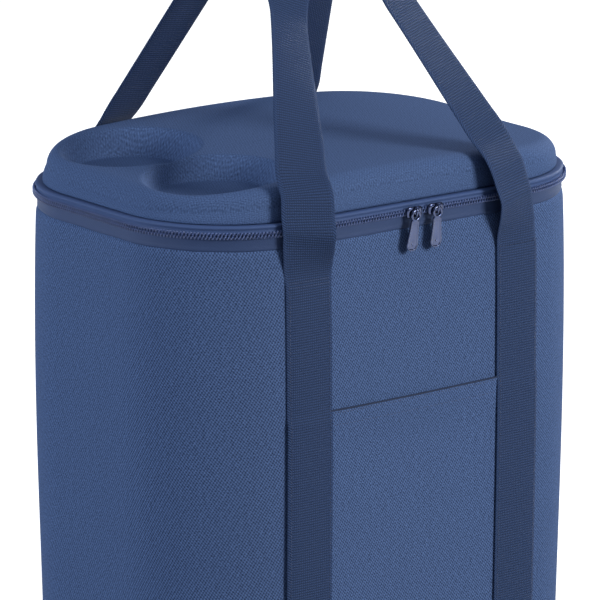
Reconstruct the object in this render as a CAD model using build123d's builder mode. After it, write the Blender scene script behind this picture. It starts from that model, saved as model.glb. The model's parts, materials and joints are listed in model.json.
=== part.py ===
"""An upright soft cooler bag: insulated body, zipped lid with two cup recesses, and two webbing handles.

Millimetres. +Z is up, -Y is the front, +X is to the right seen from the front. The origin is the centre
of the base, on the surface the bag stands on. A distance "out" is measured from the body's outer fabric,
outwards.
"""

import os
from math import cos, radians, sin

from build123d import *

os.makedirs("parts", exist_ok=True)

# Overall form
BODY_W = 380.0
BODY_D = 262.0
CORNER_R = 90.0
BODY_SEAM_Z = 386.0
ZIP_Z = 397.0
LID_Z = 403.6
LID_CROWN_Z = 431.0
CROWN_DROP = 6.0
LID_INSET = 2.0
LID_EDGE_R = 11.0

# Wall build-up, from outside to inside
SKIN_T = 1.2
FOAM_T = 10.0
LINER_T = 0.8
WALL_T = SKIN_T + FOAM_T + LINER_T
RIM_Z = 394.0
BINDING_T = 1.2
BASE_T = 2.0
BASE_CHAMFER = 0.8
BOARD_T = 2.0
BASE_FOAM_T = 10.0
FLOOR_Z = BASE_T + BOARD_T + BASE_FOAM_T
PIPING_OUT = 2.4
PIPING_H = 4.4
PIPING_ROUND = 1.8

# Lid build-up
LID_SKIN_T = 1.6
PLUG_INSET = 8.0
LINER_TOP_Z = 399.0
CUP_X = -115.0
CUP_Y = 50.5
CUP_MOUTH_R = 47.5
CUP_FLOOR_R = 44.0
CUP_FLOOR_Z = 411.5
CUP_CORNER_R = 5.0

# Zip: two tapes and two coils around the front and sides, a fabric hinge across the back
HINGE_W = 190.0
TAPE_T = 1.0
TAPE_OUT = 3.6
COIL_T = 1.6
COIL_H = 2.45
COIL_GAP = 0.3
COIL_OUT = TAPE_OUT + 0.1
HINGE_OUT = 5.5
COIL_ROUND = 0.7
STOP_W = 9.0
SEAM_OUT = 0.7
LOWER_BULGE = (2.6, 390.0)
UPPER_BULGE = (2.2, 400.8)
UPPER_END = (-1.2, LID_Z - 0.8)
HINGE_END = (-0.6, LID_Z - 1.0)
HINGE_GAP = 0.5

# Sliders and pulls
SLIDER_X = {"left": -3.0, "right": 17.0}
PULL_TILT = {"left": 9.0, "right": 4.0}
SLIDER_L = 14.0
SLIDER_H = 9.8
PLATE_T = 2.0
PLATE_ROUND = 3.4
PLATE_EDGE_R = 0.6
HOOK_W = 9.0
HOOK_H = 1.6
HOOK_SINK = 0.5
HOOK_Z = ZIP_Z - (SLIDER_H - HOOK_H) / 2 + 0.2
PLATE_OUT = COIL_OUT + COIL_T + 0.3
BRIDGE_BAR = 1.6
BRIDGE_RISE = 4.3
BRIDGE_H = 8.0
BRIDGE_R = 1.9
BRIDGE_DROP = 1.0
BRIDGE_SINK = 0.5
PULL_AXIS_OUT = PLATE_OUT + PLATE_T + 1.6
PULL_AXIS_Z = ZIP_Z + 1.6
PULL_L = 31.0
PULL_EYE_R = 4.4
PULL_T = 1.6
PULL_TIP_W = 8.2
PULL_NECK_W = 5.2
PULL_NECK_Z = -PULL_EYE_R - 2.5
PULL_TIP_Z = PULL_TIP_W / 2 - PULL_L

# Webbing
WEB_W = 40.0
WEB_T = 2.0
WEB_X = 97.5
WEB_OUT = 1.2
SEWN_Z = 364.8
FREE_Z = 365.4
SPLIT_Z = 424.0
SPLIT_GAP = 0.6
STRAP_FOOT_Z = 7.0
TACK_W = 32.0
TACK_H = 2.4
TACK_T = 0.5
STRAP_CLEAR = 0.7
EDGE_CLEAR = 6.0
EDGE_RISE = 2.0
LEAVE_R = 8.0
BULGE_Z = 388.0
BULGE_R = 10.0
KNEE_R = 14.0
BEND_Z = 545.0
BEND_R = 60.0
GRIP_Y = 22.0
LEG_R = 60.0
FRONT_LEAN = 0.64
BACK_LEAN = 0.60
FRONT_LOOP = {"top": 586.0, "half": 27.0, "arch_r": 36.0, "knee": 400.0}
BACK_LOOP = {"top": 592.0, "half": 44.0, "arch_r": 52.0, "knee": 405.0}

# Front slip pocket
POCKET_HALF_W = WEB_X
POCKET_TOP_Z = 260.0
POCKET_T = 1.2
HEM_H = 12.0
HEM_T = 1.0


def outline(out=0.0, mode=Mode.ADD):
    """The bag's rounded-rectangle plan, grown outwards by `out`."""
    RectangleRounded(BODY_W + 2 * out, BODY_D + 2 * out, CORNER_R + out, mode=mode)


def ring(outer, inner):
    """The plan's band between two distances out."""
    outline(outer)
    outline(inner, mode=Mode.SUBTRACT)


def window(centre, width, depth=60.0):
    """Keeps only the stretch of a band that lies in a rectangle around `centre`."""
    with Locations(centre):
        Rectangle(width, depth, mode=Mode.INTERSECT)


def zip_path():
    """The open line of the zip: from the back's left end, round the sides and front, to its right end."""
    flat_x = BODY_W / 2 - CORNER_R
    flat_y = BODY_D / 2 - CORNER_R
    with BuildLine() as path:
        Line((-HINGE_W / 2, BODY_D / 2), (-flat_x, BODY_D / 2))
        CenterArc((-flat_x, flat_y), CORNER_R, 90, 90)
        Line((-BODY_W / 2, flat_y), (-BODY_W / 2, -flat_y))
        CenterArc((-flat_x, -flat_y), CORNER_R, 180, 90)
        Line((-flat_x, -BODY_D / 2), (flat_x, -BODY_D / 2))
        CenterArc((flat_x, -flat_y), CORNER_R, 270, 90)
        Line((BODY_W / 2, -flat_y), (BODY_W / 2, flat_y))
        CenterArc((flat_x, flat_y), CORNER_R, 0, 90)
        Line((flat_x, BODY_D / 2), (HINGE_W / 2, BODY_D / 2))
    return path.wire()


def back_section(x):
    """The plane of a cross-section at the back: its first axis points out of the bag, its second up."""
    return Plane(origin=(x, BODY_D / 2, 0), x_dir=(0, 1, 0), z_dir=(1, 0, 0))


def cup(skin):
    """The hollow of one cup recess, grown `skin` outwards: a slightly flared bowl with a rounded floor."""
    floor_z = CUP_FLOOR_Z - skin
    top_z = LID_CROWN_Z + 5
    with BuildPart() as bowl:
        with BuildSketch(Plane.XZ):
            with BuildLine():
                wall = FilletPolyline((0, floor_z), (CUP_FLOOR_R + skin, floor_z),
                                      (CUP_MOUTH_R + skin, top_z), radius=CUP_CORNER_R)
                Polyline(wall @ 1, (0, top_z), (0, floor_z))
            make_face()
        revolve(axis=Axis.Z)
    return bowl.part


def lid_block(skin):
    """The lid's block, crowned along its length and round at its edge, with two cup recesses, drawn `skin`
    inside the outer surface."""
    hollow = cup(skin)
    end_x = BODY_W / 2
    crown_z = LID_CROWN_Z - skin
    end_z = crown_z - CROWN_DROP
    with BuildPart() as block:
        with BuildSketch(Plane.XZ):
            with BuildLine():
                top = ThreePointArc((-end_x, end_z), (0, crown_z), (end_x, end_z))
                Polyline(top @ 1, (end_x, LID_Z), (-end_x, LID_Z), top @ 0)
            make_face()
        extrude(amount=BODY_D, both=True)
        with BuildSketch(Plane.XY.offset(LID_Z)):
            outline(-LID_INSET - skin)
        extrude(amount=2 * LID_EDGE_R + LID_CROWN_Z - LID_Z, mode=Mode.INTERSECT)
        fillet(block.faces().sort_by(Axis.Z)[-1].edges(), LID_EDGE_R - skin)
        for side in (-1, 1):
            add(hollow.moved(Location((CUP_X, side * CUP_Y, 0))), mode=Mode.SUBTRACT)
    return block.part


def strap_side_path(lean, top):
    """A free strap from the side, as (distance from the mid plane, height): off the body, past the zip, over
    the lid's edge, and up to the grip."""
    foot = BODY_D / 2 + WEB_OUT + WEB_T / 2
    past_zip = BODY_D / 2 + PLATE_OUT + WEB_T / 2 + STRAP_CLEAR
    edge = BODY_D / 2 - LID_INSET - LID_EDGE_R + EDGE_CLEAR
    edge_z = LID_CROWN_Z + EDGE_RISE
    bend = edge - lean * (BEND_Z - edge_z)
    knee_z = edge_z - (past_zip - edge) / lean
    with BuildLine() as path:
        FilletPolyline((foot, FREE_Z - LEAVE_R), (foot, FREE_Z), (past_zip, BULGE_Z), (past_zip, knee_z),
                       (bend, BEND_Z), (GRIP_Y, top + WEB_W), radius=(LEAVE_R, BULGE_R, KNEE_R, BEND_R))
    return path


def handle(side, lean, loop):
    """A whole free handle: a leaning band of webbing, cut to an arch with two legs seen from the front."""
    view = Plane(origin=(0, 0, 0), x_dir=(0, side, 0), z_dir=(side, 0, 0))
    with BuildPart() as webbing:
        with BuildSketch(view):
            with BuildLine():
                add(strap_side_path(lean, loop["top"]).line)
            trace(line_width=WEB_T)
        extrude(amount=WEB_X + WEB_W, both=True)
        with BuildSketch(Plane.XZ):
            with BuildLine():
                FilletPolyline((-WEB_X, FREE_Z), (-WEB_X, loop["knee"]), (-loop["half"], loop["top"]),
                               (loop["half"], loop["top"]), (WEB_X, loop["knee"]), (WEB_X, FREE_Z),
                               radius=(LEG_R, loop["arch_r"], loop["arch_r"], LEG_R))
            trace(line_width=WEB_W)
        extrude(amount=BODY_D, both=True, mode=Mode.INTERSECT)
    return webbing.part


def save(builder, name):
    """Names a finished piece and writes it out."""
    builder.part.label = name
    export_step(builder.part, f"parts/{name}.step")


# Base: outer panel, stiffening board and foam pad, with a piped seam around the foot of the wall
with BuildPart() as base_panel:
    with BuildSketch():
        outline()
    extrude(amount=BASE_T)
    chamfer(base_panel.faces().sort_by(Axis.Z)[0].edges(), BASE_CHAMFER)
save(base_panel, "base_panel")

with BuildPart() as base_board:
    with BuildSketch(Plane.XY.offset(BASE_T)):
        outline(-SKIN_T - FOAM_T)
    extrude(amount=BOARD_T)
save(base_board, "base_board")

with BuildPart() as base_foam:
    with BuildSketch(Plane.XY.offset(BASE_T + BOARD_T)):
        outline(-SKIN_T - FOAM_T)
    extrude(amount=BASE_FOAM_T)
save(base_foam, "base_foam")

with BuildPart() as base_piping:
    with BuildSketch(Plane.XY.offset(BASE_T)):
        ring(PIPING_OUT, 0)
    extrude(amount=PIPING_H)
    rims = base_piping.faces().filter_by(Axis.Z).edges()
    outer_rims = rims.filter_by(
        lambda edge: abs(edge.center().X) > BODY_W / 2 or abs(edge.center().Y) > BODY_D / 2)
    fillet(outer_rims, PIPING_ROUND)
save(base_piping, "base_piping")

# Body wall: outer fabric, foam, inner liner and the binding over the foam's top edge
with BuildPart() as body_outer_shell:
    with BuildSketch(Plane.XY.offset(BASE_T)):
        ring(0, -SKIN_T)
    extrude(amount=BODY_SEAM_Z - BASE_T)
save(body_outer_shell, "body_outer_shell")

with BuildPart() as body_foam_wall:
    with BuildSketch(Plane.XY.offset(BASE_T)):
        ring(-SKIN_T, -SKIN_T - FOAM_T)
    extrude(amount=RIM_Z - BASE_T)
save(body_foam_wall, "body_foam_wall")

with BuildPart() as inner_liner:
    with BuildSketch(Plane.XY.offset(FLOOR_Z)):
        outline(-SKIN_T - FOAM_T)
    extrude(amount=RIM_Z - FLOOR_Z)
    with BuildSketch(Plane.XY.offset(FLOOR_Z + LINER_T)):
        outline(-WALL_T)
    extrude(amount=RIM_Z, mode=Mode.SUBTRACT)
save(inner_liner, "inner_liner")

with BuildPart() as rim_binding:
    with BuildSketch(Plane.XY.offset(RIM_Z)):
        ring(-SKIN_T, -WALL_T)
    extrude(amount=BINDING_T)
save(rim_binding, "rim_binding")

# Front slip pocket, its side edges caught under the straps
with BuildPart() as front_pocket:
    with BuildSketch(Plane.XY.offset(STRAP_FOOT_Z)):
        ring(POCKET_T, 0)
        window((0, -BODY_D / 2), 2 * POCKET_HALF_W)
    extrude(amount=POCKET_TOP_Z - STRAP_FOOT_Z)
save(front_pocket, "front_pocket")

with BuildPart() as pocket_hem:
    with BuildSketch(Plane.XY.offset(POCKET_TOP_Z - HEM_H)):
        ring(POCKET_T + HEM_T, POCKET_T)
        window((0, -BODY_D / 2), 2 * (WEB_X - WEB_W / 2) - 1)
    extrude(amount=HEM_H)
save(pocket_hem, "pocket_hem")

# Zip: a tape and a coil on each side of the line, swept round three sides
SECTION_AT_START = back_section(-HINGE_W / 2)

with BuildPart() as zip_tape_lower:
    with BuildSketch(SECTION_AT_START):
        with BuildLine():
            Spline((SEAM_OUT, BODY_SEAM_Z), LOWER_BULGE, (TAPE_OUT - TAPE_T / 2, ZIP_Z - COIL_GAP),
                   tangents=[(0.5, 1), (0.0, 1)])
        trace(line_width=TAPE_T)
    sweep(path=zip_path())
save(zip_tape_lower, "zip_tape_lower")

with BuildPart() as zip_tape_upper:
    with BuildSketch(SECTION_AT_START):
        with BuildLine():
            Spline((TAPE_OUT - TAPE_T / 2, ZIP_Z + COIL_GAP), UPPER_BULGE, UPPER_END,
                   tangents=[(0.0, 1), (-1, 0.3)])
        trace(line_width=TAPE_T)
    sweep(path=zip_path())
save(zip_tape_upper, "zip_tape_upper")

COIL_RISE = (COIL_GAP + COIL_H) / 2
for name, coil_z in (("zip_coil_lower", ZIP_Z - COIL_RISE), ("zip_coil_upper", ZIP_Z + COIL_RISE)):
    with BuildPart() as coil:
        with BuildSketch(SECTION_AT_START):
            with Locations((COIL_OUT + COIL_T / 2, coil_z)):
                RectangleRounded(COIL_T, COIL_H, COIL_ROUND)
        sweep(path=zip_path())
    save(coil, name)

with BuildPart() as lid_hinge_strip:
    with BuildSketch(back_section(HINGE_GAP - HINGE_W / 2)):
        with BuildLine():
            Spline((SEAM_OUT, BODY_SEAM_Z), LOWER_BULGE, (TAPE_OUT - TAPE_T / 2, ZIP_Z), UPPER_BULGE,
                   HINGE_END)
        trace(line_width=TAPE_T)
    extrude(amount=HINGE_W - 2 * HINGE_GAP)
save(lid_hinge_strip, "lid_hinge_strip")

with BuildPart() as zip_end_stops:
    for side in (-1, 1):
        with BuildSketch(back_section(side * (HINGE_W / 2 - STOP_W / 2) - STOP_W / 2)):
            with Locations((COIL_OUT + COIL_T / 2, ZIP_Z - COIL_GAP - COIL_H / 2)):
                RectangleRounded(COIL_T, COIL_H, COIL_ROUND)
        extrude(amount=STOP_W - HINGE_GAP)
save(zip_end_stops, "zip_end_stops")

# Lid: moulded outer skin with two cup recesses, foam, liner and the binding of the liner's edge
LID_CORE = lid_block(LID_SKIN_T)

with BuildPart() as lid_shell:
    add(lid_block(0))
    add(LID_CORE, mode=Mode.SUBTRACT)
save(lid_shell, "lid_shell")

with BuildPart() as lid_foam:
    add(LID_CORE)
    with BuildSketch(Plane.XY.offset(LINER_TOP_Z)):
        outline(-PLUG_INSET)
    extrude(amount=LID_Z - LINER_TOP_Z)
save(lid_foam, "lid_foam")

with BuildPart() as lid_liner:
    with BuildSketch(Plane.XY.offset(LINER_TOP_Z - LINER_T)):
        outline(-PLUG_INSET)
    extrude(amount=LINER_T)
save(lid_liner, "lid_liner")

with BuildPart() as lid_binding:
    with BuildSketch(Plane.XY.offset(LINER_TOP_Z - LINER_T)):
        ring(-PLUG_INSET + BINDING_T, -PLUG_INSET)
    extrude(amount=LID_Z - LINER_TOP_Z + LINER_T)
save(lid_binding, "lid_binding")

# Straps sewn down the front and back, with a bar tack under each free end
for end, toward in (("front", -1), ("back", 1)):
    for hand, side in (("left", -1), ("right", 1)):
        with BuildPart() as strap:
            with BuildSketch(Plane.XY.offset(STRAP_FOOT_Z)):
                ring(WEB_OUT + WEB_T, WEB_OUT)
                window((side * WEB_X, toward * BODY_D / 2), WEB_W)
            extrude(amount=SEWN_Z - STRAP_FOOT_Z)
        save(strap, f"strap_{end}_{hand}")

with BuildPart() as strap_bar_tacks:
    for toward in (-1, 1):
        for side in (-1, 1):
            with BuildSketch(Plane.XY.offset(SEWN_Z - 6)):
                ring(WEB_OUT + WEB_T + TACK_T, WEB_OUT + WEB_T)
                window((side * WEB_X, toward * BODY_D / 2), TACK_W)
            extrude(amount=TACK_H)
save(strap_bar_tacks, "strap_bar_tacks")

# Handles: the two short legs up to the lid's edge, and the loop above it
for end, toward, lean, loop in (("front", -1, FRONT_LEAN, FRONT_LOOP), ("back", 1, BACK_LEAN, BACK_LOOP)):
    whole = handle(toward, lean, loop)
    for half, plane_z, kept in (("base", SPLIT_Z - SPLIT_GAP / 2, Keep.BOTTOM),
                                ("loop", SPLIT_Z + SPLIT_GAP / 2, Keep.TOP)):
        with BuildPart() as piece:
            add(whole)
            split(bisect_by=Plane.XY.offset(plane_z), keep=kept)
        save(piece, f"{end}_handle_{half}")

# Sliders: a front plate hooked under the lower coil, with a bridge that holds the pull
FRONT_Y = -BODY_D / 2
for hand, x in SLIDER_X.items():
    with BuildPart() as slider:
        with BuildSketch(Plane.XZ.offset(-FRONT_Y + PLATE_OUT)):
            with Locations((x, ZIP_Z)):
                RectangleRounded(SLIDER_L, SLIDER_H, PLATE_ROUND)
        extrude(amount=PLATE_T)
        fillet(slider.faces().sort_by(Axis.Y)[0].edges(), PLATE_EDGE_R)
        with BuildSketch(Plane.XZ.offset(-FRONT_Y + COIL_OUT)):
            with Locations((x, HOOK_Z)):
                Rectangle(HOOK_W, HOOK_H)
        extrude(amount=PLATE_OUT - COIL_OUT + HOOK_SINK)
        with BuildSketch(Plane.YZ.offset(x - BRIDGE_BAR / 2)):
            with Locations((FRONT_Y - PLATE_OUT - PLATE_T, PULL_AXIS_Z - BRIDGE_DROP)):
                RectangleRounded(2 * BRIDGE_RISE, BRIDGE_H, BRIDGE_R)
                RectangleRounded(2 * (BRIDGE_RISE - BRIDGE_BAR), BRIDGE_H - 2 * BRIDGE_BAR,
                                 BRIDGE_R / 2, mode=Mode.SUBTRACT)
                with Locations((BRIDGE_RISE, 0)):
                    Rectangle(2 * (BRIDGE_RISE - BRIDGE_SINK), 2 * BRIDGE_H, mode=Mode.SUBTRACT)
        extrude(amount=BRIDGE_BAR)
    save(slider, f"slider_{hand}")

# Pulls: a ring eye round the bridge and a tapered tab hanging below it
for hand, x in SLIDER_X.items():
    across = (cos(radians(PULL_TILT[hand])), 0, -sin(radians(PULL_TILT[hand])))
    hang = Plane(origin=(x, FRONT_Y - PULL_AXIS_OUT, PULL_AXIS_Z), x_dir=across, z_dir=(0, -1, 0))
    with BuildPart() as pull:
        with BuildSketch(hang.offset(-PULL_T / 2)):
            with Locations((0, -PULL_EYE_R + PULL_T / 2)):
                Circle(PULL_EYE_R)
            with BuildLine():
                Polyline((-PULL_NECK_W / 2, PULL_NECK_Z), (-PULL_TIP_W / 2, PULL_TIP_Z),
                         (PULL_TIP_W / 2, PULL_TIP_Z), (PULL_NECK_W / 2, PULL_NECK_Z), close=True)
            make_face()
            with Locations((0, PULL_TIP_Z)):
                Circle(PULL_TIP_W / 2)
            with Locations((0, -PULL_EYE_R + PULL_T / 2)):
                Circle(PULL_EYE_R - PULL_T, mode=Mode.SUBTRACT)
        extrude(amount=PULL_T)
    save(pull, f"pull_{hand}")
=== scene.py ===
"""Soft cooler bag maker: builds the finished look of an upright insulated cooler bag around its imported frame.

Lengths in the functions are millimetres unless a name says otherwise; `mesh_piece` turns them to metres. +Z
is up and -Y is the front. "out" is a distance outwards from the body's fabric, and "s" is a distance round
the bag's plan, which starts at the middle of the back and goes by way of the left end.
"""

import json
import math

import bpy
import numpy as np
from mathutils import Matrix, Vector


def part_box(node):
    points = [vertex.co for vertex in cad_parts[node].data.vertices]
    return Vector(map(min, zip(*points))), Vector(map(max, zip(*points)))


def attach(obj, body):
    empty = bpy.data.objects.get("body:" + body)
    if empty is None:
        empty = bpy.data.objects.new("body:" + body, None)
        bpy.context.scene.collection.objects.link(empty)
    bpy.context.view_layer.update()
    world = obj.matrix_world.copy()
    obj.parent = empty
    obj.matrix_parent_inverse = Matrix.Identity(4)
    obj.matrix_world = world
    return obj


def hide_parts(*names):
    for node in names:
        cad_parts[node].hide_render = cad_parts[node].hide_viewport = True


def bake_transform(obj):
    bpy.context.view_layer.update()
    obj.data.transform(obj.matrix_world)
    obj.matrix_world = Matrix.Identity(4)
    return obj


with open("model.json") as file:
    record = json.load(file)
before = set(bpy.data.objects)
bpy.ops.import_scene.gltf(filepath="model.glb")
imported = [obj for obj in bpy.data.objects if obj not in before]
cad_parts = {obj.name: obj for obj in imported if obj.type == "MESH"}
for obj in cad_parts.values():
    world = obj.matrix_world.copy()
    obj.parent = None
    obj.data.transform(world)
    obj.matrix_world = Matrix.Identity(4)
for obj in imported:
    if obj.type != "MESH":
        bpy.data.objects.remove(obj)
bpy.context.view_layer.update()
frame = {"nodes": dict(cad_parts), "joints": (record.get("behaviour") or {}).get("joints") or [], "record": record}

bl_info = {
    "name": "Soft cooler bag maker",
    "version": (1, 0, 0),
    "blender": (4, 5, 0),
    "location": "View3D > Sidebar > Cooler Bag",
    "description": "Builds a zipped soft cooler bag with webbing handles around its frame",
    "category": "Add Mesh",
}

RECORD = frame["record"]
JOINTS = {joint["name"]: joint for joint in frame["joints"]}


def node_box(name):
    """The lowest and highest corners of a frame node, in millimetres."""
    low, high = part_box(name)
    return np.array(low) * 1000, np.array(high) * 1000


BODY_LOW, BODY_HIGH = node_box("body_outer_shell")
HALF_W, HALF_D = BODY_HIGH[0], BODY_HIGH[1]
SEAM_Z = BODY_HIGH[2]
LID_LOW, LID_HIGH = node_box("lid_shell")
LID_INSET = HALF_W - LID_HIGH[0]
LID_Z, CROWN_Z = LID_LOW[2], LID_HIGH[2]
ZIP_Z = JOINTS["lid_open"]["pos_m"][2] * 1000
RIM_LOW, RIM_HIGH = node_box("rim_binding")
WALL_T = HALF_W - node_box("base_board")[1][0]
FLOOR_Z = node_box("inner_liner")[0][2]
HINGE_HALF = node_box("lid_hinge_strip")[1][0]
STRAP_LOW, STRAP_HIGH = node_box("strap_front_right")
STRAP_X = (STRAP_LOW[0] + STRAP_HIGH[0]) / 2
STRAP_W = STRAP_HIGH[0] - STRAP_LOW[0]
POCKET_LOW, POCKET_HIGH = node_box("front_pocket")
COIL_BOX = node_box("zip_coil_lower")
COIL_OUT = COIL_BOX[1][0] - HALF_W
FOLD_Z = JOINTS["front_handle_fold"]["pos_m"][2] * 1000
BEND_Z = JOINTS["front_handle_bend"]["pos_m"][2] * 1000


def length_property(name, description, default, low, high):
    """A length in mm, with its limits."""
    return bpy.props.FloatProperty(name=name, description=description + ", in mm", default=default, min=low,
                                   max=high)


class BagSizes(bpy.types.PropertyGroup):
    """The bag's sizes that a user would change. The frame holds the others."""

    corner: length_property("Corner radius", "Radius of the plan's corners", 90.0, 60.0, 120.0)
    bulge: length_property("Wall bulge", "How far the foam wall swells between its seams", 3.4, 0.0, 5.0)
    flare: length_property("Wall flare", "How far the wall widens towards the zip", 3.0, 0.0, 7.0)
    lid_lean: length_property("Lid lean", "How far the lid's cup end leans inwards", 3.2, 0.0, 5.0)
    lid_edge: length_property("Lid edge radius", "Radius of the lid's upper edge", 12.5, 6.0, 14.0)
    crown_long: length_property("Lid crown, lengthwise", "Fall of the lid to its ends", 9.5, 0.0, 12.0)
    crown_deep: length_property("Lid crown, crosswise", "Fall of the lid to its long edges", 0.6, 0.0, 4.0)
    lid_rise: length_property("Lid rise", "How far the lid's top rises towards the back", 4.0, 0.0, 6.0)
    cup_mouth: length_property("Cup mouth radius", "Where the recess starts to dip", 54.5, 45.0, 60.0)
    cup_floor: length_property("Cup floor radius", "Where the recess's floor begins", 41.5, 35.0, 48.0)
    twill: length_property("Twill pitch", "Spacing of the twill's diagonal ribs", 1.75, 0.4, 3.0)
    rib: length_property("Webbing rib pitch", "Spacing of the webbing's cross ribs", 1.9, 0.8, 4.0)
    webbing: length_property("Webbing thickness", "Thickness of the webbing", 1.9, 1.0, 3.0)
    coil_pitch: length_property("Zip coil pitch", "Spacing of the zip's teeth", 2.5, 1.0, 3.0)
    stitch: length_property("Stitch pitch", "Spacing of the stitches", 3.4, 2.0, 6.0)
    grip_z: bpy.props.FloatVectorProperty(name="Grip heights",
                                          description="Top of the front and back handles, in mm",
                                          default=(604.0, 610.0), size=2)


def colour_property(name, description, hex_code):
    """A colour property whose default is an sRGB hex value, turned to linear."""
    return bpy.props.FloatVectorProperty(name=name, description=description, subtype="COLOR", size=4,
                                         min=0.0, max=1.0, default=linear(hex_code))


def linear(hex_code):
    """An sRGB hex colour as linear red, green, blue and alpha."""
    channels = [int(hex_code[i:i + 2], 16) / 255 for i in (1, 3, 5)]
    return tuple(c / 12.92 if c <= 0.04045 else ((c + 0.055) / 1.055) ** 2.4 for c in channels) + (1.0,)


class BagColours(bpy.types.PropertyGroup):
    """The bag's colours."""

    twill: colour_property("Twill", "Body fabric", "#3c4f77")
    twill_thread: colour_property("Twill light thread", "Lighter threads of the body fabric", "#536b99")
    webbing: colour_property("Webbing", "Strap and handle webbing", "#253759")
    webbing_light: colour_property("Webbing ribs", "Raised ribs of the webbing", "#354b76")
    tape: colour_property("Zip tape", "Tape on both sides of the zip", "#36486f")
    coil: colour_property("Zip coil", "Nylon coil", "#46598a")
    metal: colour_property("Slider lacquer", "Lacquered sliders and pulls", "#2f3b5e")
    thread: colour_property("Thread", "Sewing thread", "#2f4168")
    lining: colour_property("Lining", "Heat-reflecting lining film", "#b4b9c0")
    foam: colour_property("Foam", "Insulation foam", "#e4e5e6")
    board: colour_property("Board", "Base stiffener", "#2b2c2e")
    floor: colour_property("Floor", "Studio floor", "#f4f4f3")


def sizes():
    return bpy.context.scene.bag_sizes


def colours():
    return bpy.context.scene.bag_colours


# Small shared mathematics
def smooth(t):
    """A step from 0 to 1 that starts and ends level: t squared times three minus two t."""
    t = np.clip(t, 0, 1)
    return t * t * (3 - 2 * t)


def ripple(a, b, seed, waves=7):
    """Even, repeatable unevenness between about -1 and 1: a sum of sines whose directions and phases are
    seeded."""
    rng = np.random.default_rng(seed)
    total = 0
    for _ in range(waves):
        angle, phase, rate = rng.uniform(0, math.tau), rng.uniform(0, math.tau), rng.uniform(0.6, 1.6)
        total = total + np.sin(rate * (np.cos(angle) * a + np.sin(angle) * b) + phase)
    return total / math.sqrt(waves * 2)


def plan_length():
    """The length of the bag's plan at the body's fabric."""
    r = sizes().corner
    return 4 * (HALF_W - r) + 4 * (HALF_D - r) + math.tau * r


def plan(s, out=0.0):
    """Points and outward normals of the rounded-rectangle plan at distances s round it, `out` beyond the
    fabric.

    Nine pieces, straights and quarter arcs, follow each other; each holds its start, heading and curvature,
    and a point is start plus run along the heading, or start plus the chord of the arc turned so far.
    """
    r = sizes().corner
    flat_x, flat_y = HALF_W - r, HALF_D - r
    quarter = math.pi * r / 2
    pieces = [(flat_x, 0, HALF_D, 180, 0), (quarter, -flat_x, HALF_D, 180, 1),
              (2 * flat_y, -HALF_W, flat_y, 270, 0),
              (quarter, -HALF_W, -flat_y, 270, 1), (2 * flat_x, -flat_x, -HALF_D, 0, 0),
              (quarter, flat_x, -HALF_D, 0, 1), (2 * flat_y, HALF_W, -flat_y, 90, 0),
              (quarter, HALF_W, flat_y, 90, 1), (flat_x, flat_x, HALF_D, 180, 0)]
    length, x0, y0, heading, bent = (np.array(column, float) for column in zip(*pieces))
    starts = np.concatenate([[0], np.cumsum(length)[:-1]])
    s = np.mod(np.asarray(s, float), length.sum())
    k = np.clip(np.searchsorted(starts, s, side="right") - 1, 0, len(pieces) - 1)
    run, h = s - starts[k], np.radians(heading[k])
    turn = bent[k] * run / r
    straight_x, straight_y = run * np.cos(h), run * np.sin(h)
    arc_x, arc_y = r * (np.sin(h + turn) - np.sin(h)), r * (np.cos(h) - np.cos(h + turn))
    x = x0[k] + np.where(bent[k] > 0, arc_x, straight_x)
    y = y0[k] + np.where(bent[k] > 0, arc_y, straight_y)
    nx, ny = np.sin(h + turn), -np.cos(h + turn)
    return x + out * nx, y + out * ny, nx, ny


def front_s(x):
    """The distance round the plan to the point of the front's flat stretch at x."""
    return plan_length() / 2 + x


def wall_swell(s, z):
    """How far the body's fabric stands out at (s, z): a long swell between the seams, pulled in at both, a
    flare that grows towards the zip and rolls in over a quarter round at the seam, soft unevenness, and small
    puckers under the upper seam and over the foot."""
    height = (z - BODY_LOW[2]) / (SEAM_Z - BODY_LOW[2])
    swell = sizes().bulge * np.sin(math.pi * np.clip(height, 0, 1)) ** 0.7
    x, _, nx, _ = plan(s)
    rolled = np.sqrt(1 - np.clip(1 - (SEAM_Z - z) / 7, 0, 1) ** 2)
    flare = sizes().flare * smooth((height - 0.2) / 0.75) * (0.55 + 0.45 * np.abs(nx)) * rolled
    under_strap = np.exp(-((np.abs(x) - STRAP_X) / (0.62 * STRAP_W)) ** 4)
    uneven = 0.45 * ripple(s / 62, z / 75, 11) * np.sin(math.pi * np.clip(height, 0, 1)) ** 0.5
    below_seam = np.clip((SEAM_Z - z) / 16, 0, 1)
    gathers = 0.22 * np.sin(s / 2.1 + 2.2 * np.sin(s / 23)) * (0.6 + 0.4 * np.sin(s / 9.5))
    pucker = gathers * (1 - below_seam) ** 2
    above_foot = np.clip((z - BODY_LOW[2]) / 14, 0, 1)
    foot_pucker = 0.2 * np.sin(s / 2.7 + 2.0 * np.sin(s / 31)) * (1 - above_foot) ** 2
    tuck = 1.0 * np.clip(1 - (SEAM_Z - z) / 2.5, 0, 1) ** 2
    return swell + flare + uneven * (1 - 0.7 * under_strap) + (pucker + foot_pucker) * (1 - under_strap) - tuck


# Meshes and objects


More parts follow.
